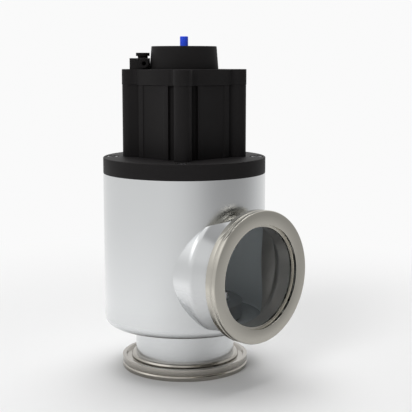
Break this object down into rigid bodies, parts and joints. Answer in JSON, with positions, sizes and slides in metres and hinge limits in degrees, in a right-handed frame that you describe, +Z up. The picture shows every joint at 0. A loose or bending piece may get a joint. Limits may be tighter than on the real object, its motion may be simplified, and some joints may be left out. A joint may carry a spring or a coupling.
{
  "type": "vacuum angle valve",
  "caption": "Right-angle vacuum valve: round steel body, clamp flanges below and at the side, black air cylinder on top and a blue position pin.",
  "frame": {"origin": "centre of the lower port's sealing face, on the body's axis", "axes": "+Z up along the body's axis; +X out along the side port's axis, which lies 108 mm above the origin"},
  "size_m": [0.1905, 0.165, 0.3383],
  "materials": {
    "satin_steel": "satin",
    "flange_steel": "turned",
    "ground_steel": "polished",
    "black_anodised": "satin",
    "black_plastic": "matte",
    "indicator_blue": "gloss",
    "screw_steel": "satin",
    "black_screws": "satin",
    "spring_steel": "satin",
    "plain_aluminium": "satin",
    "bronze": "satin",
    "seal_rubber": "matte"
  },
  "bodies": {
    "valve_body": {"body_shell": "satin_steel", "side_outlet": "satin_steel", "side_neck": "satin_steel", "side_flange": "flange_steel", "lower_neck": "satin_steel", "lower_flange": "flange_steel", "seat_ring": "flange_steel", "bonnet_ring": "flange_steel", "bonnet_seal": "seal_rubber", "bonnet_plate": "black_anodised", "bonnet_bolts": "screw_steel", "guide_bush": "bronze", "rod_seal": "seal_rubber", "bellows_top_ring": "satin_steel", "bellows_top_seal": "seal_rubber", "bellows_top_screws": "screw_steel", "bellows": "satin_steel", "cylinder_barrel": "black_anodised", "barrel_seal": "seal_rubber", "cap": "black_anodised", "cap_seal": "seal_rubber", "tie_bolts": "black_screws", "dome_cover": "black_plastic", "indicator_bush": "black_plastic", "closing_spring": "spring_steel", "port_block": "black_plastic", "passage_seals": "seal_rubber", "block_screws": "black_screws", "air_fitting": "black_plastic", "breather_vent": "black_plastic"},
    "moving_group": {"bellows_foot": "satin_steel", "valve_plate": "satin_steel", "plate_seal": "seal_rubber", "plate_screws": "screw_steel", "stem": "ground_steel", "piston": "plain_aluminium", "piston_seal": "seal_rubber", "piston_guide_ring": "black_plastic", "piston_nut": "screw_steel", "indicator_pin": "indicator_blue"},
    "release_collar": {"release_collar": "black_plastic"}
  },
  "joints": [
    {"name": "valve_stroke", "type": "slide", "parent": "valve_body", "child": "moving_group", "axis": [0, 0, 1], "range_m": [0, 0.028], "stiffness_N_per_m": 16000, "springref_m": -0.05, "deforming": ["bellows", "closing_spring"]},
    {"name": "collar_press", "type": "slide", "parent": "valve_body", "child": "release_collar", "axis": [-0.7071, 0.7071, 0], "range_m": [0, 0.001], "stiffness_N_per_m": 2000, "springref_m": -0.001}
  ]
}
